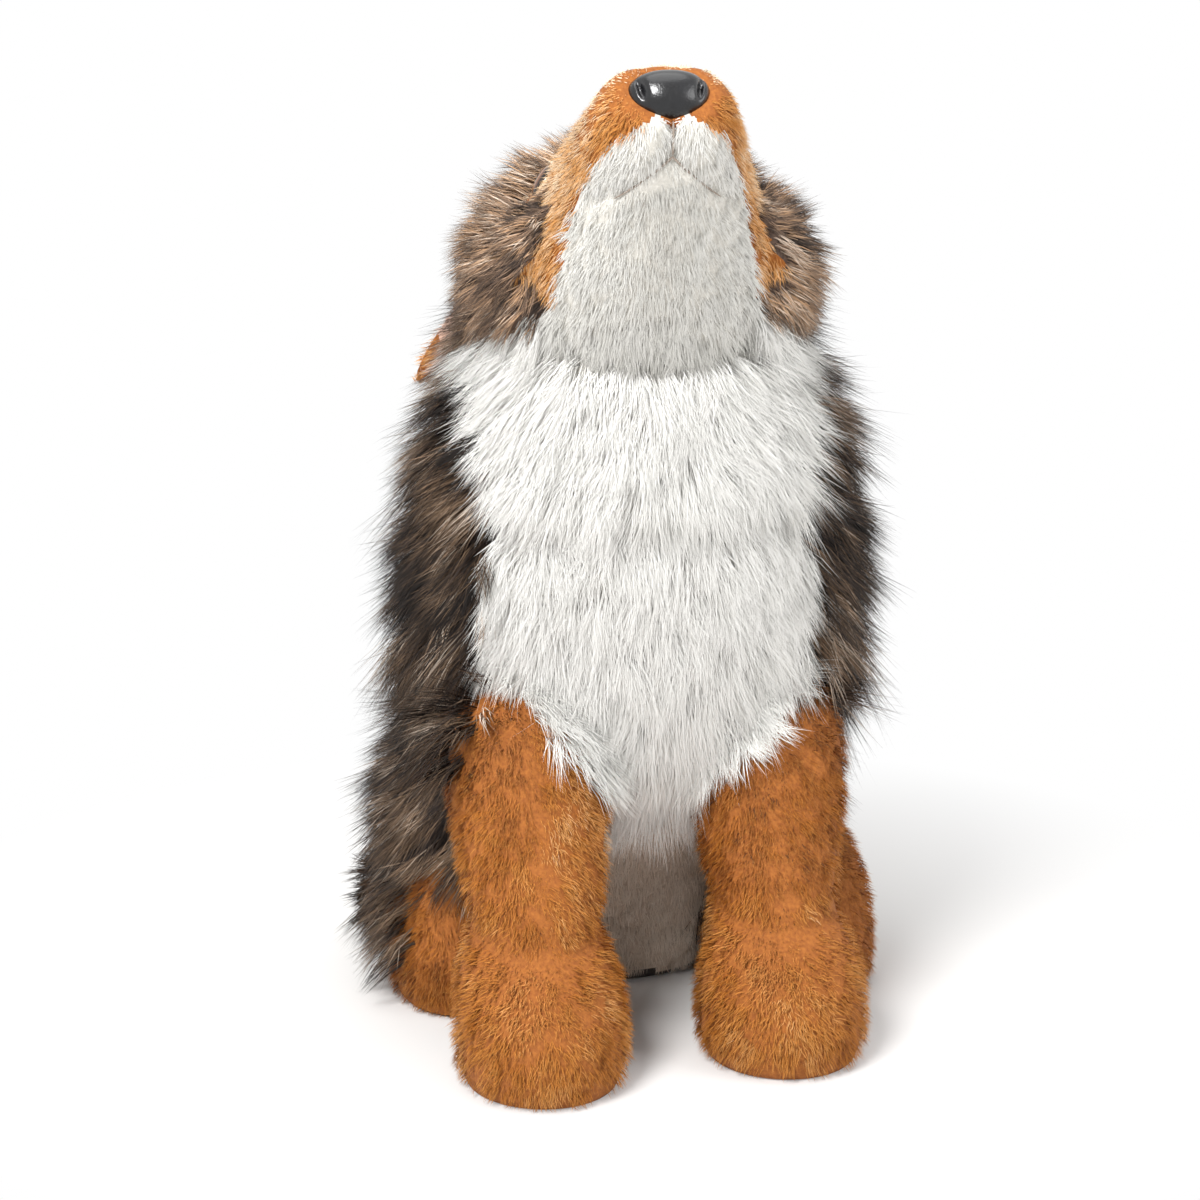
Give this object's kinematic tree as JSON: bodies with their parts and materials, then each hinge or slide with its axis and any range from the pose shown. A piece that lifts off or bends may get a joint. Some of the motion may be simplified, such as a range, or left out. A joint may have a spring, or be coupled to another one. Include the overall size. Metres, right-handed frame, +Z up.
{
  "type": "plush coyote",
  "caption": "Stuffed toy coyote that sits upright and howls, with a white bib, long dark coat, tan legs, a moulded nose and locked-in eyes",
  "frame": {"origin": "on the floor, in the middle of the flat seat panel", "axes": "+Z up; the toy faces -Y, and its own left side is +X"},
  "size_m": [0.2202, 0.2795, 0.3998],
  "materials": {
    "white_plush": "short white pile",
    "white_fur": "long straight white pile, combed outwards and down",
    "coat_fur": "long brown and black pile with black tips",
    "hood_fur": "medium grey-brown pile with dark tips",
    "ear_fur": "short tan pile with dark tips",
    "ear_plush": "short pinkish cream pile",
    "tan_plush": "short dense tan pile",
    "stuffing_fibre": "loose white polyester fibre",
    "nose_plastic": "moulded, glossy, faintly pebbled",
    "eye_plastic": "clear amber over a black pupil",
    "washer_plastic": "moulded"
  },
  "bodies": {
    "root": {"belly_panel": "white_plush", "bib": "white_fur", "coat_left": "coat_fur", "coat_right": "coat_fur", "ear_back_left": "ear_fur", "ear_back_right": "ear_fur", "ear_lining_left": "ear_plush", "ear_lining_right": "ear_plush", "eye_left": "eye_plastic", "eye_right": "eye_plastic", "eye_washer_left": "washer_plastic", "eye_washer_right": "washer_plastic", "face_panel": "tan_plush", "foreleg_inner_left": "tan_plush", "foreleg_inner_right": "tan_plush", "foreleg_outer_left": "tan_plush", "foreleg_outer_right": "tan_plush", "foreleg_stuffing_left": "stuffing_fibre", "foreleg_stuffing_right": "stuffing_fibre", "forepaw_left": "tan_plush", "forepaw_right": "tan_plush", "foresole_left": "tan_plush", "foresole_right": "tan_plush", "haunch_left": "coat_fur", "haunch_right": "coat_fur", "haunch_stuffing_left": "stuffing_fibre", "haunch_stuffing_right": "stuffing_fibre", "head_stuffing": "stuffing_fibre", "hind_foot_left": "tan_plush", "hind_foot_right": "tan_plush", "hind_foot_stuffing_left": "stuffing_fibre", "hind_foot_stuffing_right": "stuffing_fibre", "hind_sole_left": "tan_plush", "hind_sole_right": "tan_plush", "hood_left": "hood_fur", "hood_right": "hood_fur", "jaw_panel": "white_plush", "lip_left": "white_plush", "lip_right": "white_plush", "nose": "nose_plastic", "nose_washer": "washer_plastic", "ruff": "white_fur", "seat_panel": "coat_fur", "tail_skin": "coat_fur", "tail_stuffing": "stuffing_fibre", "torso_stuffing": "stuffing_fibre"}
  },
  "joints": []
}
